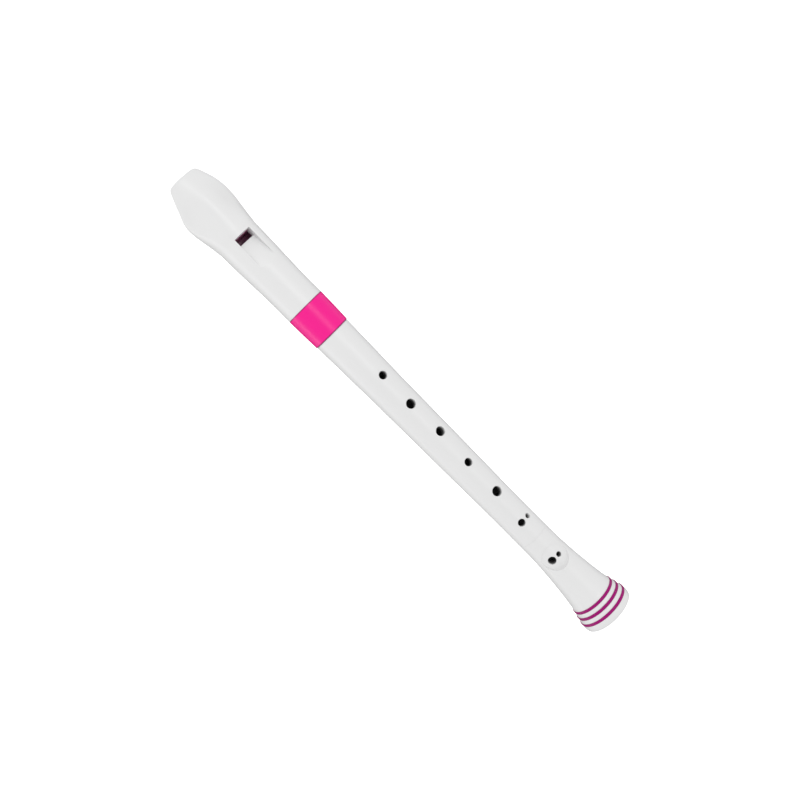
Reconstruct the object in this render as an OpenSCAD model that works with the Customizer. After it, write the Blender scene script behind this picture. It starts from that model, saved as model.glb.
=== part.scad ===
// Soprano recorder in three joints: head, middle joint and foot.
// It stands on its bell along +Z. The origin is at the centre of the bell's
// end face, and the finger holes face -Y. Millimetres.

/* [Settings of the joints] */
// Turn of the head about the long axis at rest, in degrees
head_turn = -3; // [-180:1:180]
// Turn of the foot about the long axis at rest, in degrees
foot_turn = -19; // [-180:0.5:180]

/* [Air column] */
// Diameter of the bore in the head
head_bore_d = 13.4; // [13:0.1:13.8]
// Diameter of the bore at the top of the middle joint
middle_bore_d = 13.0; // [12:0.1:13.4]
// Diameter of the bore at the bottom of the middle joint
lower_bore_d = 9.9; // [9.4:0.1:10.4]
// Diameter of the straight bore in the foot
foot_bore_d = 10.4; // [10:0.1:10.8]

/* [Tenons] */
// Diameter of the upper tenon
upper_tenon_d = 17; // [16.6:0.1:17.2]
// Diameter of the lower tenon
lower_tenon_d = 13.9; // [13.6:0.1:14]
// Radial clearance of a tenon in its socket
tenon_gap = 0.1; // [0.05:0.01:0.1]

/* [Window] */
// Width of the window and of the windway exit
window_w = 10.4; // [10:0.1:11.2]
// Height of the labium edge above the bell's end face
labium_z = 280.6; // [280.3:0.1:281]
// Height of the windway exit above the bell's end face
exit_z = 284.6; // [284.4:0.1:285]

/* [Finger holes] */
// Diameter of finger hole 1
hole_1_d = 4.6; // [4:0.1:6]
// Diameter of finger hole 2
hole_2_d = 5.4; // [4:0.1:6]
// Diameter of finger hole 3
hole_3_d = 5.3; // [4:0.1:6]
// Diameter of finger hole 4
hole_4_d = 4.5; // [4:0.1:6]
// Diameter of finger hole 5
hole_5_d = 5.5; // [4:0.1:6]
// Diameter of the larger hole of pair 6
hole_6_d = 4.2; // [3.6:0.1:4.4]
// Diameter of the smaller hole of pair 6
hole_6_small_d = 2.9; // [2.4:0.1:3.2]
// Diameter of the larger hole of pair 7
hole_7_d = 4.6; // [3.8:0.1:4.8]
// Diameter of the smaller hole of pair 7
hole_7_small_d = 3.0; // [2.4:0.1:3.2]
// Diameter of the thumb hole
thumb_hole_d = 5.4; // [4.6:0.1:6]

/* [Hidden] */
$fn = 96;

white = [0.92, 0.92, 0.92];
pink = [0.95, 0.08, 0.52];
dark_pink = [0.62, 0.01, 0.38];
seal_grey = [0.12, 0.12, 0.12];

total_h = 325.8;          // lip of the beak
seam_z = 61.5;            // parting line between middle joint and foot
part_gap = 0.15;        // gap left at each parting line
body_top_z = 216.05;    // shoulder of the middle joint
band_z = 216.2;         // lower edge of the band
band_top_z = 236.0;     // upper edge of the band
foot_tenon_end = 51.15; // lower end of the lower tenon
tenon_top = 236.05;     // upper end of the upper tenon
liner_r = 9.8;          // outside of the head's inner tube
seal_r = 0.6;           // section radius of the upper seal rings
foot_seal_r = 0.5;      // section radius of the lower seal ring
block_r = 7.2;          // half width of the block
boss_z = 258;           // lower end of the boss behind the labium
boss_r = 8.2;           // half width of that boss
floor_y = 6.9;          // crown of the windway floor, from the axis
arch_r = 20;            // arch of the windway floor
ring_w = 1.7;           // width of a bell ring
ring_proud = 0.3;       // height of a bell ring above the bell

// Outline of the foot: [radius, height]
foot_outline = [[13.7, 0], [14.72, 0.2], [15.32, 0.75], [15.57, 1.7],
    [15.63, 2.8], [15.53, 4.2], [15.23, 5.8], [14.93, 7.0], [14.65, 8.2],
    [14.25, 9.8], [13.85, 11.4], [13.42, 13.4], [13.0, 15.4],
    [12.6, 17.6], [12.22, 20.2], [11.85, 22.8], [11.5, 25.6],
    [11.15, 28.9], [10.83, 32.0], [10.5, 35.2], [10.2, 38.7],
    [9.95, 42.2], [9.7, 46.2], [9.5, 50.2], [9.38, 54.5],
    [9.32, seam_z - 0.25], [9.07, seam_z]];

// Outline of the middle joint between its shoulders: [radius, height]
body_outline = [[9.07, seam_z + part_gap], [9.32, seam_z + part_gap + 0.25],
    [9.29, 67], [9.26, 74], [9.26, 81], [9.3, 88], [9.36, 95],
    [9.43, 101], [9.52, 108], [9.6, 115], [9.68, 123], [9.76, 131],
    [9.84, 140], [9.92, 150], [10.02, 160], [10.11, 170], [10.23, 179],
    [10.38, 186], [10.52, 193], [10.65, 201], [10.78, 208],
    [10.88, body_top_z - 0.3], [10.62, body_top_z]];

// Outline of the round part of the head: [radius, height]
head_outline = [[11.4, band_top_z], [11.6, band_top_z + 0.25],
    [11.58, 243], [11.57, 248], [11.68, 254], [11.85, 260],
    [12.05, 265.5], [12.22, 271], [12.38, 278], [12.47, 283],
    [12.55, 285], [12.6, 286]];

// Sections of the beak:
// [height, half width, front, back, front distance of the widest line, wing]
beak = [[285.0, 12.40, 12.42, -12.42, 0.00, 0.00],
        [288.0, 12.88, 12.68, -12.72, 0.00, 0.00],
        [291.2, 13.32, 12.75, -12.85, 0.00, 0.06],
        [294.2, 13.93, 12.75, -12.80, 0.00, 0.15],
        [297.3, 14.47, 12.70, -12.45, 0.00, 0.26],
        [300.3, 15.06, 12.58, -11.65, 0.00, 0.36],
        [303.4, 15.42, 12.40, -10.35, 0.10, 0.44],
        [306.2, 15.56, 12.15, -8.75, 0.40, 0.48],
        [308.9, 15.32, 11.85, -7.05, 1.35, 0.47],
        [311.4, 14.64, 11.48, -5.35, 2.55, 0.42],
        [313.9, 13.82, 11.05, -3.80, 3.75, 0.35],
        [316.7, 12.84, 10.58, -2.40, 4.55, 0.27],
        [319.5, 11.72, 10.10, -1.30, 4.90, 0.19],
        [322.0, 10.70, 9.72, -0.50, 5.00, 0.12],
        [323.8, 9.85, 9.45, 0.05, 5.00, 0.06],
        [325.0, 9.05, 9.20, 0.40, 5.00, 0.03],
        [total_h, 8.00, 8.80, 0.95, 4.95, 0.00]];
beak_n = 64;            // points round each section

// One point of a beak section at angle a, x across and y towards the back
function bell(u) = 0.5 + 0.5 * cos(180 * u);
function dome(u) = sqrt(max(0, 1 - u * u));
function beak_point(s, a) =
    let (u = cos(a), h = sin(a), g = s[5],
         f = (1 - g) * dome(u) + g * bell(u))
    [s[1] * u,
     h >= 0 ? -(s[4] + (s[2] - s[4]) * f)
            : -(s[4] - (s[4] - s[3]) * dome(u)),
     s[0]];

module beak_solid() {
    m = len(beak);
    pts = [for (s = beak) for (i = [0 : beak_n - 1])
        beak_point(s, 360 * i / beak_n)];
    side = [for (k = [0 : m - 2]) for (i = [0 : beak_n - 1])
        let (j = (i + 1) % beak_n, a = k * beak_n, b = a + beak_n)
        each [[a + i, a + j, b + j], [a + i, b + j, b + i]]];
    bottom = [[for (i = [0 : beak_n - 1]) i]];
    top = [[for (i = [beak_n - 1 : -1 : 0]) (m - 1) * beak_n + i]];
    polyhedron(points = pts, faces = concat(side, bottom, top));
}

// Solid of revolution between two ends of an outline
module turned(outline) {
    rotate_extrude()
        polygon(concat([[0, outline[0][1]]], outline,
                       [[0, outline[len(outline) - 1][1]]]));
}

// Plain tube, r0 inside, r1 outside
module tube(r0, r1, z0, z1) {
    rotate_extrude()
        polygon([[r0, z0], [r1, z0], [r1, z1], [r0, z1]]);
}

// Hole drilled from the outside to the air column, at angle a from the front
module side_hole(d, z, a) {
    rotate([0, 0, a]) translate([0, -1, z]) rotate([90, 0, 0])
        cylinder(d = d, h = 20, $fn = 48);
}

// Round seal ring seated in a groove
module seal(r_out, r_sec, z) {
    translate([0, 0, z]) rotate_extrude()
        translate([r_out - r_sec, 0]) circle(r = r_sec, $fn = 32);
}

module seal_groove(r_out, r_sec, z) {
    tube(r_out - 2 * r_sec - 0.05, r_out + 1,
         z - r_sec - 0.05, z + r_sec + 0.05);
}

// ---- head ----

// Seat of the block: round below, straight sided, with an arched top that is
// the floor of the windway
module block_seat() {
    intersection() {
        translate([0, 0, exit_z])
            linear_extrude(height = total_h + 5 - exit_z) {
                circle(r = block_r);
                translate([-block_r, -7.4]) square([2 * block_r, 7.4]);
            }
        translate([0, arch_r - floor_y, exit_z - 1])
            cylinder(r = arch_r, h = total_h + 8 - exit_z);
    }
}

// Air gap between block and roof, wider at the lip than at the exit
module windway() {
    half = window_w / 2;
    intersection() {
        difference() {
            translate([0, arch_r - floor_y, exit_z - 1])
                cylinder(r = arch_r + 1.2, h = total_h - exit_z + 2);
            translate([0, arch_r - floor_y, exit_z - 2])
                cylinder(r = arch_r, h = total_h - exit_z + 4);
        }
        translate([0, -20, exit_z - 1])
            rotate([-90, 0, 0]) translate([0, -(total_h - exit_z + 2), 0])
            linear_extrude(height = 20)
                polygon([[-half - 0.7, 0], [half + 0.7, 0],
                         [half, total_h - exit_z + 2],
                         [-half, total_h - exit_z + 2]]);
    }
}

// Opening through the roof between the windway exit and the labium
module window() {
    translate([-window_w / 2, -20, labium_z])
        cube([window_w, 18, exit_z - labium_z]);
}

// Sloping cut in front of the labium edge
module ramp() {
    slope = atan(4.5 / 17);
    intersection() {
        translate([-window_w / 2, -20, 240])
            cube([window_w, 20, labium_z - 240 + 0.01]);
        translate([0, -7.5, labium_z]) rotate([-slope, 0, 0])
            translate([0, 0, -40]) difference() {
                translate([-20, -20, 0]) cube([40, 26, 60]);
                translate([0, 26, -1]) cylinder(r = 26, h = 62);
            }
    }
}

// Relief under the labium, so that its edge stays thin right across
module undercut() {
    intersection() {
        translate([0, arch_r - floor_y, 266])
            cylinder(r = arch_r - 0.02, h = exit_z - 266);
        translate([-window_w / 2, -9, 266])
            cube([window_w, 8, exit_z - 266]);
    }
}

// Part of the wall where the head moulding reaches in to the air column
module boss_zone() {
    translate([-boss_r, -11, boss_z])
        cube([2 * boss_r, 8.6, exit_z - boss_z + 1]);
}

module head_place() { rotate([0, 0, head_turn]) children(); }

module head_outer() {
    turned(head_outline);
    beak_solid();
}

module head_shell() {
    color(white) head_place() difference() {
        head_outer();
        difference() {
            translate([0, 0, band_top_z - 1])
                cylinder(r = liner_r, h = exit_z - band_top_z + 1);
            boss_zone();
        }
        translate([0, 0, band_top_z - 2])
            cylinder(d = head_bore_d, h = exit_z - band_top_z + 2);
        block_seat();
        windway();
        window();
        ramp();
        undercut();
    }
}

module fipple_block() {
    color(pink) head_place() difference() {
        intersection() {
            head_outer();
            block_seat();
        }
        // chamfer at the windway exit
        translate([-10, -floor_y + 0.9, exit_z - 0.001])
            rotate([45, 0, 0]) translate([0, -3, -3]) cube([20, 3, 3]);
    }
}

module head_liner() {
    color(pink) head_place() difference() {
        tube(head_bore_d / 2, liner_r, band_z, exit_z);
        translate([0, 0, band_z - 1])
            cylinder(r = upper_tenon_d / 2 + tenon_gap,
                     h = tenon_top - band_z + 1.15);
        boss_zone();
    }
}

module joint_band() {
    color(pink) head_place() rotate_extrude()
        polygon([[liner_r, band_z], [11.0, band_z],
                 [11.22, band_z + 0.25], [11.48, band_z + 9.8],
                 [11.68, band_top_z - 0.25], [11.45, band_top_z],
                 [liner_r, band_top_z]]);
}

module head_seal_upper() {
    color(seal_grey)
        seal(upper_tenon_d / 2 + tenon_gap - 0.05, seal_r, 231.9);
}

module head_seal_lower() {
    color(seal_grey)
        seal(upper_tenon_d / 2 + tenon_gap - 0.05, seal_r, 221.7);
}

// ---- middle joint ----

module body_joint() {
    tenon_r = upper_tenon_d / 2;
    foot_r = lower_tenon_d / 2;
    color(white) difference() {
        rotate_extrude() polygon(concat(
            [[0, foot_tenon_end], [foot_r - 0.4, foot_tenon_end],
             [foot_r, foot_tenon_end + 0.4], [foot_r, seam_z + part_gap]],
            body_outline,
            [[tenon_r, body_top_z], [tenon_r, tenon_top - 0.5],
             [tenon_r - 0.5, tenon_top], [0, tenon_top]]));
        // tapered air column
        translate([0, 0, foot_tenon_end - 1])
            cylinder(d1 = lower_bore_d, d2 = middle_bore_d,
                     h = tenon_top - foot_tenon_end + 2);
        seal_groove(tenon_r + tenon_gap - 0.05, seal_r, 231.9);
        seal_groove(tenon_r + tenon_gap - 0.05, seal_r, 221.7);
        seal_groove(foot_r + tenon_gap - 0.05, foot_seal_r, 56.3);
        side_hole(hole_1_d, 182.3, 0.5);
        side_hole(hole_2_d, 161.2, 0);
        side_hole(hole_3_d, 139.7, 6);
        side_hole(hole_4_d, 117.3, -0.4);
        side_hole(hole_5_d, 95.1, -0.5);
        side_hole(hole_6_d, 73.4, -17);
        side_hole(hole_6_small_d, 73.4, 16.3);
        side_hole(thumb_hole_d, 192, 180);
    }
}

module foot_seal() {
    color(seal_grey)
        seal(lower_tenon_d / 2 + tenon_gap - 0.05, foot_seal_r, 56.3);
}

// ---- foot ----

// Groove or ring round the bell at height z, where the bell's radius is r
module bell_band(r, z, grow, depth) {
    h = ring_w / 2;
    rotate_extrude()
        polygon([[r - depth, z - h], [r + grow - 0.15, z - h],
                 [r + grow, z - h + 0.35], [r + grow, z + h - 0.35],
                 [r + grow - 0.15, z + h], [r - depth, z + h]]);
}

function bell_r(z) = lookup(z, [for (p = foot_outline) [p[1], p[0]]]);
ring_z = [5.55, 9.5, 13.45];

module bell_ring(i) {
    color(dark_pink)
        bell_band(bell_r(ring_z[i]), ring_z[i], ring_proud, 0.8);
}

module foot_joint() {
    socket_r = lower_tenon_d / 2 + tenon_gap;
    color(white) rotate([0, 0, foot_turn]) difference() {
        turned(foot_outline);
        // grooves for the bell rings
        for (i = [0 : 2]) tube(bell_r(ring_z[i]) - 0.8, 20,
            ring_z[i] - ring_w / 2, ring_z[i] + ring_w / 2);
        // socket for the lower tenon
        translate([0, 0, foot_tenon_end - part_gap])
            cylinder(r = socket_r, h = 20);
        // straight air column
        translate([0, 0, 12]) cylinder(d = foot_bore_d, h = 40);
        // flared mouth of the bell
        rotate_extrude() polygon([[0, -1], [11.6, -1], [11.2, 0],
            [10.5, 0.9], [9.3, 2.6], [8.0, 4.8], [6.9, 7.4], [6.0, 10.4],
            [5.4, 13.2], [foot_bore_d / 2, 15], [0, 15]]);
        // dish for the little finger
        difference() {
            translate([0, 0, 46.5]) rotate([90, 0, 0])
                cylinder(r = 7.3, h = 20);
            translate([0, 0, 30]) cylinder(r = 9.25, h = 30);
        }
        side_hole(hole_7_d, 46.5, -16.2);
        side_hole(hole_7_small_d, 46.5, 16.2);
    }
}

module bell_ring_upper() { bell_ring(2); }
module bell_ring_middle() { bell_ring(1); }
module bell_ring_lower() { bell_ring(0); }

head_shell();
fipple_block();
head_liner();
joint_band();
head_seal_upper();
head_seal_lower();
body_joint();
foot_seal();
foot_joint();
bell_ring_upper();
bell_ring_middle();
bell_ring_lower();
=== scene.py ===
import math
import bpy
import numpy as np
from mathutils import Matrix, Vector


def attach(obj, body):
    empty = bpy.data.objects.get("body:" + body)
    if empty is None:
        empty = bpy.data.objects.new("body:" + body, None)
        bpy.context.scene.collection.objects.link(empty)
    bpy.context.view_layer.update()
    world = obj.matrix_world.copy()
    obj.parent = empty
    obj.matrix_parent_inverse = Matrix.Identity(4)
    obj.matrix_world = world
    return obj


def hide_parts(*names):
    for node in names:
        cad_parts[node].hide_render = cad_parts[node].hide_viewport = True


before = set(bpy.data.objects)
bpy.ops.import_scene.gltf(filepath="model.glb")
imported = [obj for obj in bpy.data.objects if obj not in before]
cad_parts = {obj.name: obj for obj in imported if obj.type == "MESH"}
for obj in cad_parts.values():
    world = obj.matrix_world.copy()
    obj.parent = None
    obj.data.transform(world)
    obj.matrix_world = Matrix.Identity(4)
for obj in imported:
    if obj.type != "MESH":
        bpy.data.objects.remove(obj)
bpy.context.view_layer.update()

MM = 0.001

# ---------------------------------------------------------------- sizes, mm
HEAD_TURN = -3.0
FOOT_TURN = -19.0
TIP_Z = 325.8
SEAM_Z, GAP = 61.5, 0.15
BAND_Z, BAND_TOP = 216.2, 236.0
BODY_TOP = 216.05
TENON_TOP, TENON_R = 236.05, 8.5
FOOT_TENON_END, FOOT_TENON_R = 51.15, 6.95
LINER_R, HEAD_BORE = 9.8, 6.7
LABIUM_Z, EXIT_Z, HALF_W = 280.6, 284.6, 5.2
BLOCK_R, ARCH_R, FLOOR_Y = 7.2, 20.0, 6.9
RING_Z = [5.55, 9.5, 13.45]
RING_W, RING_PROUD = 1.7, 0.3

FOOT = [[13.7, 0], [14.72, 0.2], [15.32, 0.75], [15.57, 1.7],
        [15.63, 2.8], [15.53, 4.2], [15.23, 5.8], [14.93, 7.0], [14.65, 8.2],
        [14.25, 9.8], [13.85, 11.4], [13.42, 13.4], [13.0, 15.4],
        [12.6, 17.6], [12.22, 20.2], [11.85, 22.8], [11.5, 25.6],
        [11.15, 28.9], [10.83, 32.0], [10.5, 35.2], [10.2, 38.7],
        [9.95, 42.2], [9.7, 46.2], [9.5, 50.2], [9.38, 54.5],
        [9.32, 59.5], [9.31, 62.5]]
BODY = [[9.31, 60.5], [9.29, 67], [9.26, 74], [9.26, 81], [9.3, 88], [9.36, 95],
        [9.43, 101], [9.52, 108], [9.6, 115], [9.68, 123], [9.76, 131],
        [9.84, 140], [9.92, 150], [10.02, 160], [10.11, 170], [10.23, 179],
        [10.38, 186], [10.52, 193], [10.65, 201], [10.78, 208],
        [10.88, 215.8], [10.89, 217]]
HEAD = [[11.6, 235], [11.59, 239], [11.57, 243], [11.57, 248], [11.68, 254],
        [11.85, 260], [12.05, 265.5], [12.22, 271], [12.38, 278],
        [12.45, 283], [12.5, 286], [12.7, 289]]
MOUTH = [[11.9, -1], [11.2, 0], [10.5, 0.9], [9.3, 2.6], [8.0, 4.8],
         [6.9, 7.4], [6.0, 10.4], [5.4, 13.2], [5.2, 15], [5.2, 70]]
# height, half width, front, back, front distance of the widest line, wing
BEAK = [[282.0, 12.44, 12.44, -12.44, 0.00, 0.00],
        [285.0, 12.52, 12.48, -12.50, 0.00, 0.00],
        [288.0, 12.88, 12.68, -12.72, 0.00, 0.00],
        [291.2, 13.32, 12.75, -12.85, 0.00, 0.06],
        [294.2, 13.93, 12.75, -12.80, 0.00, 0.15],
        [297.3, 14.47, 12.70, -12.45, 0.00, 0.26],
        [300.3, 15.06, 12.58, -11.65, 0.00, 0.36],
        [303.4, 15.42, 12.40, -10.35, 0.10, 0.44],
        [306.2, 15.56, 12.15, -8.75, 0.40, 0.48],
        [308.9, 15.32, 11.85, -7.05, 1.35, 0.47],
        [311.4, 14.64, 11.48, -5.35, 2.55, 0.42],
        [313.9, 13.82, 11.05, -3.80, 3.75, 0.35],
        [316.7, 12.84, 10.58, -2.40, 4.55, 0.27],
        [319.5, 11.72, 10.10, -1.30, 4.90, 0.19],
        [322.0, 10.70, 9.72, -0.50, 5.00, 0.12],
        [323.8, 9.85, 9.45, 0.05, 5.00, 0.06],
        [325.0, 9.05, 9.20, 0.40, 5.00, 0.03],
        [325.8, 8.05, 8.80, 0.95, 4.95, 0.00],
        [326.8, 6.80, 8.30, 1.55, 4.90, 0.00]]


# ---------------------------------------------------------------- functions
class Curve:
    """Smooth curve through points that never overshoots them."""

    def __init__(self, xs, ys, step=0.02):
        x, y = np.array(xs, float), np.array(ys, float)
        h = np.diff(x)
        d = np.diff(y) / h
        m = np.zeros(len(x))
        for i in range(1, len(x) - 1):
            if d[i - 1] * d[i] > 0:
                w1, w2 = 2 * h[i] + h[i - 1], h[i] + 2 * h[i - 1]
                m[i] = (w1 + w2) / (w1 / d[i - 1] + w2 / d[i])
        m[0], m[-1] = d[0], d[-1]
        n = int((x[-1] - x[0]) / step) + 1
        t = np.linspace(x[0], x[-1], n)
        k = np.clip(np.searchsorted(x, t, side="right") - 1, 0, len(x) - 2)
        u = (t - x[k]) / h[k]
        self.t = t
        self.v = ((1 + 2 * u) * (1 - u) ** 2 * y[k] + u * (1 - u) ** 2 * h[k] * m[k]
                  + u * u * (3 - 2 * u) * y[k + 1] + u * u * (u - 1) * h[k] * m[k + 1])
        self.s = np.gradient(self.v, self.t)

    def __call__(self, z):
        return np.interp(z, self.t, self.v)

    def slope(self, z):
        return np.interp(z, self.t, self.s)


def outline(points):
    return Curve([p[1] for p in points], [p[0] for p in points])


R_FOOT, R_BODY, R_HEAD, R_MOUTH = map(outline, (FOOT, BODY, HEAD, MOUTH))
B_W, B_F, B_B, B_C, B_G = [Curve([s[0] for s in BEAK], [s[i] for s in BEAK])
                           for i in range(1, 6)]


def rmax(a, b, k):
    """Larger of two distances, with the edge between them rounded to radius k."""
    u, v = np.maximum(a + k, 0), np.maximum(b + k, 0)
    return np.minimum(-k, np.maximum(a, b)) + np.sqrt(u * u + v * v)


def rmin(a, b, k):
    return -rmax(-a, -b, k)


def turned(r, z, curve):
    return (r - curve(z)) / np.sqrt(1 + curve.slope(z) ** 2)


def beak_level(x, y, z):
    w, f, b, c, g = B_W(z), B_F(z), B_B(z), B_C(z), B_G(z)
    u = np.abs(x) / w
    uc = np.minimum(u, 0.9999)
    dome = np.sqrt(1 - uc * uc)
    bell = 0.5 + 0.5 * np.cos(np.pi * uc)
    k = (1 - g) + g * bell / dome
    h = np.where(y < -c, (-y - c) / ((f - c) * k), (y + c) / np.maximum(c - b, 0.3))
    return np.sqrt(u * u + h * h) - 1


def beak(x, y, z):
    e = 0.05
    v = beak_level(x, y, z)
    gx = (beak_level(x + e, y, z) - beak_level(x - e, y, z)) / (2 * e)
    gy = (beak_level(x, y + e, z) - beak_level(x, y - e, z)) / (2 * e)
    gz = (beak_level(x, y, z + e) - beak_level(x, y, z - e)) / (2 * e)
    return v / np.sqrt(gx * gx + gy * gy + gz * gz + 1e-4)


def head_outer(x, y, z):
    r = np.hypot(x, y)
    d = turned(r, z, R_HEAD)
    m = z > 283
    if m.any():
        t = np.clip((z[m] - 283) / 4, 0, 1)
        t = t * t * (3 - 2 * t)
        d[m] = d[m] * (1 - t) + beak(x[m], y[m], z[m]) * t
    return rmax(d, z - TIP_Z, 0.3)


def arch(x, y):
    return np.hypot(x, y - (ARCH_R - FLOOR_Y)) - ARCH_R


def seat(x, y, z, skin, shrink=0.0):
    """The block's place in the head; skin is head_outer at the same points."""
    r = np.hypot(x, y)
    flat = np.maximum(np.maximum(np.abs(x) - BLOCK_R, y), -7.4 - y)
    two = np.minimum(r - BLOCK_R, flat)
    # close under the skin of the scoop the seam turns square to the skin
    m = (z > 300) & (y > -3) & (skin > -SEAM_H) & (skin < 0.8) & (np.abs(two) < 1.8)
    if m.any():
        P = np.stack([x[m], y[m], z[m]], 1)
        n = gradient(head_outer, P, 0.03)
        n /= np.maximum(np.linalg.norm(n, axis=1), 1e-9)[:, None]
        back = np.maximum(P[:, 1], 0)
        q = np.hypot(P[:, 0], back)
        c = np.clip((n[:, 0] * P[:, 0] + n[:, 1] * back) / np.maximum(q, 1e-6), 0, 0.9)
        two[m] = (two[m] - c * (skin[m] + SEAM_H)) / np.sqrt(1 - c * c)
    two = two + shrink
    return np.maximum(rmax(two, arch(x, y) + shrink * 0.3, 0.1), EXIT_Z - z)


def boss(x, y, z):
    return np.maximum(np.maximum(np.abs(x) - 8.2, 258 - z), y + 2.4)


SEAM_H = 0.45
SLOPE = math.atan(4.5 / 17)
CS, SN = math.cos(SLOPE), math.sin(SLOPE)


def ramp_cut(x, y, z):
    yp = (y + 7.5) * CS - (z - LABIUM_Z) * SN
    rad = np.hypot(x, yp - 26) - 26
    cut = rmax(np.maximum(np.abs(x) - HALF_W, yp - 6), -rad, 0.25)
    return np.maximum(cut, z - LABIUM_Z - 0.3)


# the depth under this skin sets the painted dark pink shade inside the head shell
def head_skin(x, y, z):
    return np.maximum(head_outer(x, y, z), -ramp_cut(x, y, z))


def head_shell_d(x, y, z):
    r = np.hypot(x, y)
    skin = head_outer(x, y, z)
    d = rmax(skin, BAND_TOP - z, 0.22)
    liner = np.maximum(r - LINER_R, z - EXIT_Z)
    d = np.maximum(d, -np.maximum(liner, -boss(x, y, z)))
    d = np.maximum(d, -np.maximum(r - HEAD_BORE, z - EXIT_Z))
    d = rmax(d, -seat(x, y, z, skin), 0.04)
    a = arch(x, y)
    half = HALF_W + 0.7 * (z - EXIT_Z) / 43
    way = np.maximum(np.maximum(rmax(a - 1.2, np.abs(x) - half, 0.2), -a - 0.3), np.maximum(EXIT_Z - 0.5 - z, y))
    d = rmax(d, -way, 0.1)
    win = rmax(np.abs(x) - HALF_W, np.maximum(LABIUM_Z - z, z - EXIT_Z), 0.2)
    d = rmax(d, -np.maximum(win, y + 2), 0.22)
    under = np.maximum(np.maximum(a + 0.02, np.abs(x) - HALF_W), np.maximum(np.maximum(y + 1, -9 - y), np.maximum(266 - z, z - EXIT_Z)))
    d = np.maximum(d, -under)
    return rmax(d, -ramp_cut(x, y, z), 0.18)


def fipple_block_d(x, y, z):
    d = head_outer(x, y, z)
    d = rmax(d, seat(x, y, z, d, 0.04), 0.04)
    # small chamfer where the windway ends
    cham = (-(y + FLOOR_Y) - (z - EXIT_Z)) * 0.7071 + 0.45
    d = rmax(d, cham, 0.1)
    return rmax(d, EXIT_Z + 0.02 - z, 0.1)


def head_liner_d(x, y, z):
    r = np.hypot(x, y)
    d = rmax(r - (LINER_R - 0.02), z - EXIT_Z + 0.02, 0.1)
    d = rmax(d, BAND_Z - z, 0.1)
    d = rmax(d, -(r - HEAD_BORE), 0.2)
    d = rmax(d, -np.maximum(r - 8.6, z - 236.2), 0.3)
    return np.maximum(d, -(boss(x, y, z) - 0.02))


def side_hole(x, y, z, dia, hz, ang):
    a = math.radians(ang)
    xr = x * math.cos(a) + y * math.sin(a)
    yr = -x * math.sin(a) + y * math.cos(a)
    return np.maximum(np.hypot(xr, z - hz) - dia / 2, yr + 1.0)


HOLES = [(4.6, 182.3, 0.5), (5.4, 161.2, 0), (5.3, 139.7, 6), (4.5, 117.3, -0.4),
         (5.5, 95.1, -0.5), (4.2, 73.4, -17), (2.9, 73.4, 16.3), (5.4, 192, 180)]
PAIR_7 = 46.5


def body_skin(x, y, z):
    r = np.hypot(x, y)
    d = turned(r, z, R_BODY)
    d = rmax(d, z - BODY_TOP, 0.22)
    d = rmax(d, SEAM_Z + GAP - z, 0.04)
    up = rmax(r - TENON_R, z - TENON_TOP, 0.5)
    up = np.maximum(up, 210 - z)
    low = rmax(r - FOOT_TENON_R, FOOT_TENON_END - z, 0.4)
    low = np.maximum(low, z - 68)
    return np.minimum(np.minimum(d, up), low)


def body_joint_d(x, y, z):
    r = np.hypot(x, y)
    d = body_skin(x, y, z)
    bore = 4.95 + (z - 50.15) * (6.5 - 4.95) / 186.9
    d = rmax(d, -(r - bore), 0.2)
    for zz, rr, rs in ((231.9, TENON_R, 0.6), (221.7, TENON_R, 0.6), (56.3, FOOT_TENON_R, 0.5)):
        g = np.maximum(rr - 2 * rs - r, np.abs(z - zz) - rs - 0.05)
        d = rmax(d, -g, 0.1)
    for h in HOLES:
        near = np.abs(z - h[1]) < h[0] / 2 + 2
        if near.any():
            d[near] = rmax(d[near], -side_hole(x[near], y[near], z[near], *h), 0.28)
    return d


def bell_r(z):
    return float(np.interp(z, [p[1] for p in FOOT], [p[0] for p in FOOT]))


# the depth under this form sets the painted shade of the foot's bore and holes; it fades out from z 15 mm down to z 3
# mm near the bell's mouth
def foot_skin(x, y, z):
    d = turned(np.hypot(x, y), z, R_FOOT)
    t = np.clip((z - 3) / 12, 0, 1)
    return d * t * t * (3 - 2 * t)


# a made-up depth for the painted shade: none below z 236 mm, a full 5 mm from z 242 mm up, where the liner sits inside
# the head
def liner_skin(x, y, z):
    return np.hypot(x, y) * 0 - 5.0 * np.clip((z - 236) / 6, 0, 1)


def foot_joint_d(x, y, z):
    r = np.hypot(x, y)
    d = turned(r, z, R_FOOT)
    d = rmax(d, z - (SEAM_Z + GAP - 0.01), 0.04)
    d = rmax(d, -z, 0.3)
    for rz in RING_Z:
        g = np.maximum(bell_r(rz) - 0.8 - r, np.abs(z - rz) - RING_W / 2)
        d = rmax(d, -g, 0.08)
    d = rmax(d, -turned(r, z, R_MOUTH), 0.35)
    d = rmax(d, -np.maximum(r - 7.05, 51.0 - z), 0.25)
    dish = rmax(np.hypot(x, z - PAIR_7) - 7.3, 9.25 - r, 0.35)
    d = rmax(d, -np.maximum(dish, y), 0.4)
    for dia, ang in ((4.6, -16.2), (3.0, 16.2)):
        near = np.abs(z - PAIR_7) < dia / 2 + 2
        if near.any():
            d[near] = rmax(d[near], -side_hole(x[near], y[near], z[near], dia, PAIR_7, ang), 0.25)
    return d


# ---------------------------------------------------------------- meshing
def levels(z0, z1, coarse, fine):
    """Heights from z0 to z1, with small steps in the fine spans (from, to, step)."""
    out, z = [z0], z0
    while z < z1:
        h = coarse
        for a, b, s in fine:
            gap = max(a - z, z - b, 0)
            h = min(h, s + gap * 0.35)
        z += h
        out.append(z)
    return np.array(out)


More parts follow.
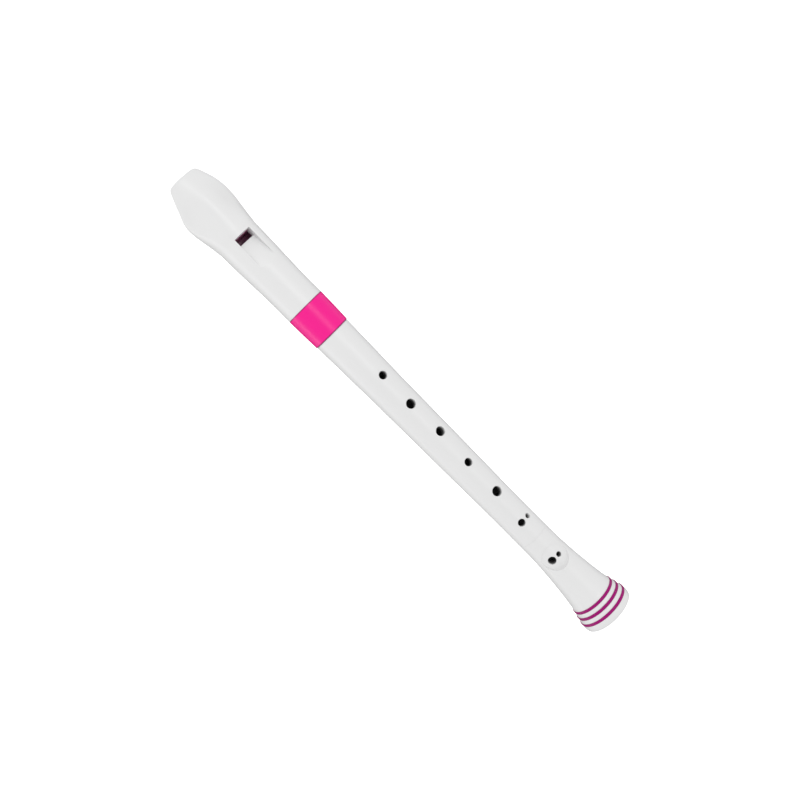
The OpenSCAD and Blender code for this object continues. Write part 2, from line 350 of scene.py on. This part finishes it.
def surface(dist, xs, ys, zs):
    """Quads on the zero level of dist over a grid, with the corners kept on the real edges."""
    X, Y, Z = np.meshgrid(xs, ys, zs, indexing="ij")
    shape = X.shape
    V = dist(X.ravel(), Y.ravel(), Z.ravel()).reshape(shape)
    del X, Y, Z
    V = np.where(V == 0, 1e-6, V)
    inside = V < 0
    axes = [xs, ys, zs]
    ny, nz = shape[1] - 1, shape[2] - 1
    points, normals, cells, quads = [], [], [], []
    for ax in range(3):
        n = shape[ax]
        a = np.take(inside, np.arange(n - 1), axis=ax)
        b = np.take(inside, np.arange(1, n), axis=ax)
        i0 = np.argwhere(a != b)
        i1 = i0.copy()
        i1[:, ax] += 1
        v0, v1 = V[tuple(i0.T)], V[tuple(i1.T)]
        p0 = np.stack([axes[q][i0[:, q]] for q in range(3)], 1).astype(float)
        step = axes[ax][i1[:, ax]] - axes[ax][i0[:, ax]]
        ta, tb, va, vb = np.zeros(len(v0)), np.ones(len(v0)), v0.copy(), v1.copy()
        for _ in range(5):
            t = ta + (tb - ta) * np.clip(va / (va - vb), 0.08, 0.92)
            p = p0.copy()
            p[:, ax] += t * step
            v = dist(p[:, 0].copy(), p[:, 1].copy(), p[:, 2].copy())
            v = np.where(v == 0, 1e-9, v)
            same = (v < 0) == (va < 0)
            ta, va = np.where(same, t, ta), np.where(same, v, va)
            tb, vb = np.where(same, tb, t), np.where(same, vb, v)
        p = p0.copy()
        p[:, ax] += (ta + (tb - ta) * va / (va - vb)) * step
        m = gradient(dist, p, 0.01)
        m /= np.maximum(np.linalg.norm(m, axis=1), 1e-9)[:, None]
        o1, o2 = (ax + 1) % 3, (ax + 2) % 3
        ring = []
        for d1, d2 in ((0, 0), (-1, 0), (-1, -1), (0, -1)):
            c = i0.copy()
            c[:, o1] += d1
            c[:, o2] += d2
            ring.append((c[:, 0] * ny + c[:, 1]) * nz + c[:, 2])
            points.append(p)
            normals.append(m)
            cells.append(ring[-1])
        q = np.stack(ring, 1)
        flip = v0 > 0
        q[flip] = q[flip][:, ::-1]
        quads.append(q)
    points, normals = np.concatenate(points), np.concatenate(normals)
    cells, quads = np.concatenate(cells), np.concatenate(quads)
    ids, inv = np.unique(cells, return_inverse=True)
    inv = inv.ravel()
    count = np.bincount(inv)
    C = np.stack([np.bincount(inv, points[:, q]) / count for q in range(3)], 1)
    M = np.stack([np.bincount(inv, normals[:, q]) / count for q in range(3)], 1)
    # the point that fits all the tangent planes of its cell best
    off = ((points - C[inv]) * normals).sum(1)
    A = np.empty((len(ids), 3, 3))
    B = np.empty((len(ids), 3))
    for i in range(3):
        B[:, i] = np.bincount(inv, normals[:, i] * off) / count
        for j in range(i, 3):
            A[:, i, j] = A[:, j, i] = np.bincount(inv, normals[:, i] * normals[:, j]) / count
    A += np.eye(3) * 0.006
    P = C + np.linalg.solve(A, B[:, :, None])[:, :, 0]
    ci = [ids // (ny * nz), (ids // nz) % ny, ids % nz]
    for q in range(3):
        P[:, q] = np.clip(P[:, q], axes[q][ci[q]], axes[q][np.minimum(ci[q] + 1, shape[q] - 1)])
    plain = np.linalg.norm(M, axis=1) > 0.985
    S = P[plain]
    for _ in range(3):
        v = dist(S[:, 0].copy(), S[:, 1].copy(), S[:, 2].copy())
        g = gradient(dist, S, 0.02)
        move = v[:, None] * g / np.maximum((g * g).sum(1), 0.05)[:, None]
        length = np.linalg.norm(move, axis=1)
        S -= move * np.minimum(1, 0.1 / np.maximum(length, 1e-9))[:, None]
    P[plain] = S
    P = np.clip(P, points.min(0), points.max(0))
    N = np.empty_like(P)
    N[plain] = gradient(dist, P[plain], 0.02)
    N[~plain] = gradient(dist, P[~plain], 0.09)
    N /= np.maximum(np.linalg.norm(N, axis=1), 1e-9)[:, None]
    return P, np.searchsorted(ids, quads), N


def gradient(dist, P, e):
    g = np.empty_like(P)
    for q in range(3):
        a, b = P.copy(), P.copy()
        a[:, q] += e
        b[:, q] -= e
        g[:, q] = (dist(a[:, 0].copy(), a[:, 1].copy(), a[:, 2].copy())
                   - dist(b[:, 0].copy(), b[:, 1].copy(), b[:, 2].copy())) / (2 * e)
    return g


def spin(P, degrees):
    a = math.radians(degrees)
    m = np.array([[math.cos(a), -math.sin(a), 0], [math.sin(a), math.cos(a), 0], [0, 0, 1]])
    return P @ m.T


def make_mesh(name, P, faces, N, depth=None):
    me = bpy.data.meshes.new(name)
    size = faces.shape[1]
    me.vertices.add(len(P))
    me.vertices.foreach_set("co", (P * MM).astype(np.float32).ravel())
    me.loops.add(faces.size)
    me.loops.foreach_set("vertex_index", faces.astype(np.int32).ravel())
    me.polygons.add(len(faces))
    me.polygons.foreach_set("loop_start", np.arange(0, faces.size, size, dtype=np.int32))
    me.polygons.foreach_set("use_smooth", np.ones(len(faces), dtype=bool))
    me.update(calc_edges=True)
    me.validate()
    me.normals_split_custom_set_from_vertices(N.astype(np.float32))
    me.update()
    if depth is not None:
        at = me.attributes.new("depth", "FLOAT", "POINT")
        at.data.foreach_set("value", depth.astype(np.float32))
    ob = bpy.data.objects.new(name, me)
    bpy.context.scene.collection.objects.link(ob)
    return ob


def nets(name, dist, xs, ys, zs, turn=0.0, skin=None):
    """skin is the outer form without its openings: how deep a point lies under it is kept, for the painted shade."""
    P, Q, N = surface(dist, xs, ys, zs)
    depth = None
    if skin is not None:
        depth = np.clip(-skin(P[:, 0].copy(), P[:, 1].copy(), P[:, 2].copy()), 0, 10)
    if turn:
        P, N = spin(P, turn), spin(N, turn)
    print(name, len(P), "vertices", len(Q), "quads")
    return make_mesh(name, P, Q, N, depth)


def rounded(corners, seg=6):
    """Closed outline (r, z, radius) run anticlockwise -> points with their normals."""
    out = []
    n = len(corners)
    for i in range(n):
        p = np.array(corners[i][:2], float)
        rad = corners[i][2]
        a = np.array(corners[i - 1][:2], float)
        b = np.array(corners[(i + 1) % n][:2], float)
        u, v = (p - a) / np.linalg.norm(p - a), (b - p) / np.linalg.norm(b - p)
        nu, nv = np.array([u[1], -u[0]]), np.array([v[1], -v[0]])
        if rad <= 0:
            m = nu + nv
            out.append((p, m / np.linalg.norm(m)))
            continue
        cosang = float(np.clip(u @ v, -1, 1))
        ang = math.acos(cosang)
        back = rad * math.tan(ang / 2)
        c = p - u * back - nu * rad
        for k in range(seg + 1):
            t = k / seg
            m = nu * math.sin((1 - t) * ang) / math.sin(ang) + nv * math.sin(t * ang) / math.sin(ang)
            out.append((c + m * rad, m))
    return out


def lathe(name, prof, n=256, shade=None):
    """shade gives the depth kept for each height."""
    k = len(prof)
    ang = np.arange(n) * 2 * math.pi / n
    P = np.empty((n, k, 3))
    N = np.empty((n, k, 3))
    for j, (p, m) in enumerate(prof):
        P[:, j] = np.stack([p[0] * np.cos(ang), p[0] * np.sin(ang), np.full(n, p[1])], 1)
        N[:, j] = np.stack([m[0] * np.cos(ang), m[0] * np.sin(ang), np.full(n, m[1])], 1)
    i, j = np.meshgrid(np.arange(n), np.arange(k), indexing="ij")
    a = i * k + j
    b = ((i + 1) % n) * k + j
    c = ((i + 1) % n) * k + (j + 1) % k
    d = i * k + (j + 1) % k
    faces = np.stack([a, b, c, d], -1).reshape(-1, 4)
    P = P.reshape(-1, 3)
    return make_mesh(name, P, faces, N.reshape(-1, 3), None if shade is None else shade(P[:, 2]))


def span(half, step):
    n = int(math.ceil(half / step))
    return (np.arange(-n, n + 1) + 0.137) * step


# ---------------------------------------------------------------- materials
def nodes_of(mat):
    mat.use_nodes = True
    nt = mat.node_tree
    nt.nodes.clear()
    out = nt.nodes.new("ShaderNodeOutputMaterial")
    sh = nt.nodes.new("ShaderNodeBsdfPrincipled")
    nt.links.new(sh.outputs[0], out.inputs[0])
    return nt, sh


def noise(nt, scale, detail=3.0, rough=0.5, stretch=(1, 1, 1)):
    co = nt.nodes.new("ShaderNodeTexCoord")
    mp = nt.nodes.new("ShaderNodeMapping")
    mp.inputs["Scale"].default_value = stretch
    nt.links.new(co.outputs["Object"], mp.inputs["Vector"])
    n = nt.nodes.new("ShaderNodeTexNoise")
    n.inputs["Scale"].default_value = scale
    n.inputs["Detail"].default_value = detail
    n.inputs["Roughness"].default_value = rough
    nt.links.new(mp.outputs["Vector"], n.inputs["Vector"])
    return n


def ramp(nt, source, stops):
    r = nt.nodes.new("ShaderNodeValToRGB")
    e = r.color_ramp.elements
    e[0].position, e[0].color = stops[0][0], (*stops[0][1], 1)
    e[1].position, e[1].color = stops[-1][0], (*stops[-1][1], 1)
    for pos, col in stops[1:-1]:
        x = e.new(pos)
        x.color = (*col, 1)
    nt.links.new(source, r.inputs["Fac"])
    return r.outputs["Color"]


def spread(nt, source, lo, hi):
    m = nt.nodes.new("ShaderNodeMapRange")
    m.inputs["From Min"].default_value = 0.3
    m.inputs["From Max"].default_value = 0.7
    m.inputs["To Min"].default_value = lo
    m.inputs["To Max"].default_value = hi
    nt.links.new(source, m.inputs["Value"])
    return m.outputs["Result"]


def plastic(name, colour, vary, rough, spec=0.5, bump=0.006, deep_shade=None, reach=(0.4, 3.2)):
    """Moulded plastic: faint flow tone, satin with uneven gloss, very fine skin; with deep_shade given, painted shade
    darkens the colour the deeper the surface lies.
    """
    mat = bpy.data.materials.new(name)
    nt, sh = nodes_of(mat)
    flow = noise(nt, 38.0, 4.0, 0.55, (1, 1, 0.22))
    lo = tuple(max(c * (1 - vary), 0) for c in colour)
    hi = tuple(min(c * (1 + vary), 1) for c in colour)
    tone = ramp(nt, flow.outputs["Fac"], [(0.32, lo), (0.68, hi)])
    if deep_shade:
        # painted shade: the walls of the bores and holes are painted darker the deeper they lie
        at = nt.nodes.new("ShaderNodeAttribute")
        at.attribute_name = "depth"
        m = nt.nodes.new("ShaderNodeMapRange")
        m.interpolation_type = "SMOOTHSTEP"
        m.inputs["From Min"].default_value = reach[0]
        m.inputs["From Max"].default_value = reach[1]
        nt.links.new(at.outputs["Fac"], m.inputs["Value"])
        mix = nt.nodes.new("ShaderNodeMix")
        mix.data_type = "RGBA"
        nt.links.new(m.outputs["Result"], mix.inputs[0])
        nt.links.new(tone, mix.inputs[6])
        mix.inputs[7].default_value = (*deep_shade, 1)
        tone = mix.outputs[2]
    nt.links.new(tone, sh.inputs["Base Color"])
    wear = noise(nt, 210.0, 5.0, 0.6)
    nt.links.new(spread(nt, wear.outputs["Fac"], rough[0], rough[1]), sh.inputs["Roughness"])
    skin = noise(nt, 2600.0, 2.0, 0.5)
    wave = noise(nt, 160.0, 2.0, 0.4, (1, 1, 0.3))
    b1 = nt.nodes.new("ShaderNodeBump")
    b1.inputs["Strength"].default_value = 0.25
    b1.inputs["Distance"].default_value = bump * MM
    nt.links.new(skin.outputs["Fac"], b1.inputs["Height"])
    b2 = nt.nodes.new("ShaderNodeBump")
    b2.inputs["Strength"].default_value = 0.3
    b2.inputs["Distance"].default_value = 0.05 * MM
    nt.links.new(wave.outputs["Fac"], b2.inputs["Height"])
    nt.links.new(b1.outputs["Normal"], b2.inputs["Normal"])
    nt.links.new(b2.outputs["Normal"], sh.inputs["Normal"])
    sh.inputs["IOR"].default_value = 1.5
    sh.inputs["Specular IOR Level"].default_value = spec
    return mat


def rubber(name):
    mat = bpy.data.materials.new(name)
    nt, sh = nodes_of(mat)
    n = noise(nt, 260.0, 4.0)
    nt.links.new(ramp(nt, n.outputs["Fac"], [(0.3, (0.018, 0.018, 0.019)), (0.7, (0.04, 0.04, 0.041))]), sh.inputs["Base Color"])
    nt.links.new(spread(nt, n.outputs["Fac"], 0.42, 0.66), sh.inputs["Roughness"])
    f = noise(nt, 3000.0, 2.0)
    b = nt.nodes.new("ShaderNodeBump")
    b.inputs["Strength"].default_value = 0.4
    b.inputs["Distance"].default_value = 0.02 * MM
    nt.links.new(f.outputs["Fac"], b.inputs["Height"])
    nt.links.new(b.outputs["Normal"], sh.inputs["Normal"])
    return mat


# painted shade: the bore and hole walls of the body and foot are painted dark grey the deeper they lie
WHITE = plastic("white_abs", (0.82, 0.82, 0.82), 0.010, (0.32, 0.42), deep_shade=(0.12, 0.12, 0.12), reach=(0.35, 2.9))
# painted shade: the head shell's walls more than 4.3 mm under its skin, inside the window, are painted dark pink
WHITE_HEAD = plastic("white_abs_head", (0.82, 0.82, 0.82), 0.010, (0.32, 0.42), deep_shade=(0.20, 0.035, 0.11), reach=(4.3, 5.0))
PINK = plastic("pink_abs", (0.965, 0.001, 0.285), 0.015, (0.28, 0.37), spec=0.38)
# painted shade: the band's colour turns dark pink within 1 mm of its ends
PINK_BAND = plastic("pink_abs_band", (0.965, 0.001, 0.285), 0.015, (0.28, 0.37), spec=0.38, deep_shade=(0.30, 0.002, 0.12), reach=(0.25, 0.95))
# painted shade: the liner is painted dark pink where it lies inside the head
PINK_LINER = plastic("pink_abs_liner", (0.985, 0.002, 0.285), 0.015, (0.3, 0.4), spec=0.42, deep_shade=(0.34, 0.13, 0.23))
# painted shade: the block is painted darker the deeper it lies under the head's outer form
PINK_BLOCK = plastic("pink_abs_block", (0.965, 0.001, 0.285), 0.015, (0.28, 0.37), spec=0.38, deep_shade=(0.60, 0.20, 0.36))
MAGENTA = plastic("magenta_abs", (0.34, 0.0, 0.16), 0.05, (0.28, 0.38), spec=0.2)
SEAL = rubber("seal_rubber")

# ---------------------------------------------------------------- pieces
Q = 1.0
pieces = []


def fit(ob, body, node, mat):
    ob.data.materials.clear()
    ob.data.materials.append(mat)
    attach(ob, body)
    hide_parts(node)
    pieces.append(ob)
    return ob


g = 0.3 * Q
fit(nets("head_shell_piece", head_shell_d, span(16.0, g), span(13.4, g),
         levels(235.4, 326.6, 0.9, [(235.6, 236.6, 0.2), (257.5, 259, 0.3), (262, 280, 0.75 * Q),
                                    (280, 285.6, 0.21 * Q), (286, 303, 0.9 * Q), (305, 311.5, 0.29 * Q),
                                    (311.5, 323, 0.36 * Q), (323, 326.6, 0.24 * Q)]), HEAD_TURN, head_skin),
    "head", "head_shell", WHITE_HEAD)
fit(nets("fipple_block_piece", fipple_block_d, span(8.2, g), span(8.2, g),
         levels(284.1, 326.6, 0.8, [(284.2, 287, 0.22 * Q), (288, 304, 0.7 * Q), (305, 311.5, 0.22 * Q),
                                    (311.5, 323, 0.32 * Q), (323.5, 326.6, 0.22 * Q)]), HEAD_TURN, head_outer),
    "head", "fipple_block", PINK_BLOCK)
fit(nets("head_liner_piece", head_liner_d, span(10.4, g), span(10.4, g),
         levels(215.7, 285.2, 1.2, [(215.8, 216.8, 0.2), (235.8, 236.8, 0.25), (257.5, 258.5, 0.3), (284, 285.2, 0.2)]), HEAD_TURN, liner_skin),
    "head", "head_liner", PINK_LINER)
fit(nets("body_joint_piece", body_joint_d, span(11.4, g * 1.22), span(11.4, g * 1.22),
         levels(50.6, 236.7, 1.5, [(50.8, 51.8, 0.25), (55.3, 57.3, 0.25), (61.2, 62.2, 0.2),
                                   (215.5, 216.5, 0.2), (220.6, 222.8, 0.25), (230.8, 233, 0.25), (235.2, 236.7, 0.25)]
                + [(h[1] - h[0] / 2 - 0.3, h[1] + h[0] / 2 + 0.3, 0.37 * Q) for h in HOLES]), 0.0, body_skin),
    "middle", "body_joint", WHITE)
fit(nets("foot_joint_piece", foot_joint_d, span(16.0, g), span(16.0, g),
         levels(-0.6, 62.1, 0.8, [(-0.6, 3, 0.2 * Q), (4.5, 15, 0.23 * Q), (39, 55, 0.34 * Q), (50.6, 51.4, 0.2), (60.8, 62.1, 0.2)]), FOOT_TURN, foot_skin),
    "foot", "foot_joint", WHITE)

edge = [(LINER_R, BAND_Z, 0.05), (11.22, BAND_Z, 0.2), (11.236, BAND_Z + 0.55, 0), (11.25, BAND_Z + 1.0, 0),
        (11.36, 221, 0), (11.48, 226, 0), (11.58, 231, 0), (11.66, BAND_TOP - 1.0, 0), (11.669, BAND_TOP - 0.58, 0),
        (11.68, BAND_TOP - 0.03, 0.2), (LINER_R, BAND_TOP - 0.03, 0.05)]
# painted shade: the band is painted darker close to its two ends, where it meets the white pieces
fit(lathe("joint_band_piece", rounded(edge), shade=lambda z: np.clip(1 - np.minimum(z - BAND_Z, BAND_TOP - z) / 1.0, 0, 1)),
    "head", "joint_band", PINK_BAND)

for ring, name in ((0, "bell_ring_lower"), (1, "bell_ring_middle"), (2, "bell_ring_upper")):
    r, z, h = bell_r(RING_Z[ring]), RING_Z[ring], RING_W / 2 - 0.02
    sec = [(r - 0.78, z - h, 0.05), (r + RING_PROUD, z - h, 0.32), (r + RING_PROUD, z + h, 0.32), (r - 0.78, z + h, 0.05)]
    fit(lathe(name + "_piece", rounded(sec)), "foot", name, MAGENTA)

for name, r_out, sec, z, body in (("head_seal_upper", 8.55, 0.6, 231.9, "head_seal_rings"),
                                  ("head_seal_lower", 8.55, 0.6, 221.7, "head_seal_rings"),
                                  ("foot_seal", 7.0, 0.5, 56.3, "foot_seal_ring")):
    prof = []
    for k in range(40):
        t = 2 * math.pi * k / 40
        m = np.array([math.cos(t), math.sin(t)])
        prof.append((np.array([r_out - sec, z]) + m * sec, m))
    fit(lathe(name + "_piece", prof, 192), body, name, SEAL)

# the CAD nodes carry the same finishes
for node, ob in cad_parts.items():
    mat = (SEAL if "seal" in node else MAGENTA if "bell_ring" in node
           else PINK if node in ("fipple_block", "head_liner", "joint_band") else WHITE)
    ob.data.materials.clear()
    ob.data.materials.append(mat)

# ---------------------------------------------------------------- stage
stage_mat = bpy.data.materials.new("studio_paper")
nt, sh = nodes_of(stage_mat)
paper = noise(nt, 9.0, 3.0)
nt.links.new(ramp(nt, paper.outputs["Fac"], [(0.3, (0.93, 0.93, 0.93)), (0.7, (0.96, 0.96, 0.96))]), sh.inputs["Base Color"])
nt.links.new(spread(nt, paper.outputs["Fac"], 0.7, 0.85), sh.inputs["Roughness"])
sh.inputs["Specular IOR Level"].default_value = 0.1
sh.inputs["Emission Color"].default_value = (1, 1, 1, 1)
sh.inputs["Emission Strength"].default_value = 0.85

h_dir = Vector((math.sin(math.radians(-20.6)), -math.cos(math.radians(-20.6)), 0))
side = Vector((math.cos(math.radians(-20.6)), math.sin(math.radians(-20.6)), 0))
# a round table top that curves up all the way round, so that every side has the same paper behind it
prof = [(0.0, 0.0), (0.3, 0.0), (0.8, 0.0), (1.4, 0.0), (2.2, 0.0)]
for k in range(1, 25):
    t = math.radians(90 * k / 24)
    prof.append((2.2 + 1.6 * math.sin(t), 1.6 - 1.6 * math.cos(t)))
prof.append((3.8, 6.0))
P, F = [(0.0, 0.0, 0.0)], []
n = 96
for (d, z) in prof[1:]:
    for k in range(n):
        a = 2 * math.pi * k / n
        P.append((d * math.cos(a), d * math.sin(a), z))
for k in range(n):
    F.append((0, 1 + k, 1 + (k + 1) % n))
for i in range(len(prof) - 2):
    for k in range(n):
        a, b = 1 + i * n, 1 + (i + 1) * n
        F.append((a + k, b + k, b + (k + 1) % n, a + (k + 1) % n))
me = bpy.data.meshes.new("studio_sweep")
me.from_pydata(P, [], F)
me.polygons.foreach_set("use_smooth", [True] * len(F))
me.update()
floor = bpy.data.objects.new("studio_sweep", me)
bpy.context.scene.collection.objects.link(floor)
floor.data.materials.append(stage_mat)
floor.visible_diffuse = False
floor.visible_glossy = False

# ---------------------------------------------------------------- light
world = bpy.data.worlds.new("studio")
bpy.context.scene.world = world
world.use_nodes = True
bg = world.node_tree.nodes["Background"]
bg.inputs["Color"].default_value = (1, 1, 1, 1)
bg.inputs["Strength"].default_value = 0.765


def softbox(name, place, target, w, h, power):
    li = bpy.data.lights.new(name, "AREA")
    li.shape = "RECTANGLE"
    li.size, li.size_y = w, h
    li.energy = power
    ob = bpy.data.objects.new(name, li)
    ob.location = place
    ob.rotation_mode = "QUATERNION"
    ob.rotation_quaternion = (Vector(target) - Vector(place)).to_track_quat("-Z", "Y")
    bpy.context.scene.collection.objects.link(ob)
    return ob


centre = Vector((0, 0, 0.165))


def around(angle, distance, rise=0.0):
    """A place round the recorder, angle from the camera's side, positive to the right."""
    a = math.radians(angle)
    return centre + (h_dir * math.cos(a) + side * math.sin(a)) * distance + Vector((0, 0, rise))


softbox("strip_right", around(21, 1.25, 0.1), centre, 0.40, 1.7, 5.7)
softbox("strip_left", around(-92, 1.25, 0.1), centre, 0.40, 1.7, 4.3)

# two black flags behind the recorder, out of the camera's sight: they draw the dark outline
flag_mat = bpy.data.materials.new("black_flag")
nt, sh = nodes_of(flag_mat)
cloth = noise(nt, 40.0, 3.0)
nt.links.new(ramp(nt, cloth.outputs["Fac"], [(0.3, (0.015, 0.015, 0.015)), (0.7, (0.03, 0.03, 0.03))]), sh.inputs["Base Color"])
nt.links.new(spread(nt, cloth.outputs["Fac"], 0.8, 0.95), sh.inputs["Roughness"])
corner = [(-1.5, -1.2), (-0.5, -1.2), (-0.5, 1.2), (-1.5, 1.2), (0.5, -1.2), (1.5, -1.2), (1.5, 1.2), (0.5, 1.2)]
me = bpy.data.meshes.new("black_flag")
me.from_pydata([tuple(centre - h_dir * 1.4 + side * a + Vector((0, 0, b))) for a, b in corner], [],
               [(0, 1, 2, 3), (4, 5, 6, 7)])
me.update()
flag = bpy.data.objects.new("black_flag", me)
bpy.context.scene.collection.objects.link(flag)
flag.data.materials.append(flag_mat)
flag.visible_camera = False
flag.visible_shadow = False

# ---------------------------------------------------------------- camera
tau = math.radians(6.69)
down = Vector((0, 0, -1))
e_s = math.cos(tau) * down + math.sin(tau) * h_dir
e_d = math.sin(tau) * down - math.cos(tau) * h_dir
right = 0.7055 * e_s + 0.7087 * side
up = -0.7087 * e_s + 0.7055 * side
cam = bpy.data.cameras.new("camera")
cam.lens, cam.sensor_width, cam.sensor_fit = 44.1, 36.0, "HORIZONTAL"
cam.clip_start, cam.clip_end = 0.01, 50
cam_ob = bpy.data.objects.new("camera", cam)
bpy.context.scene.collection.objects.link(cam_ob)
m = Matrix((right, up, -e_d)).transposed().to_4x4()
m.translation = Vector((0, 0, 0.1656)) - 0.5233 * e_d + 0.0007 * side
cam_ob.matrix_world = m
bpy.context.scene.camera = cam_ob
bpy.context.scene.view_settings.view_transform = "Standard"
bpy.context.scene.view_settings.look = "None"

bpy.context.view_layer.update()
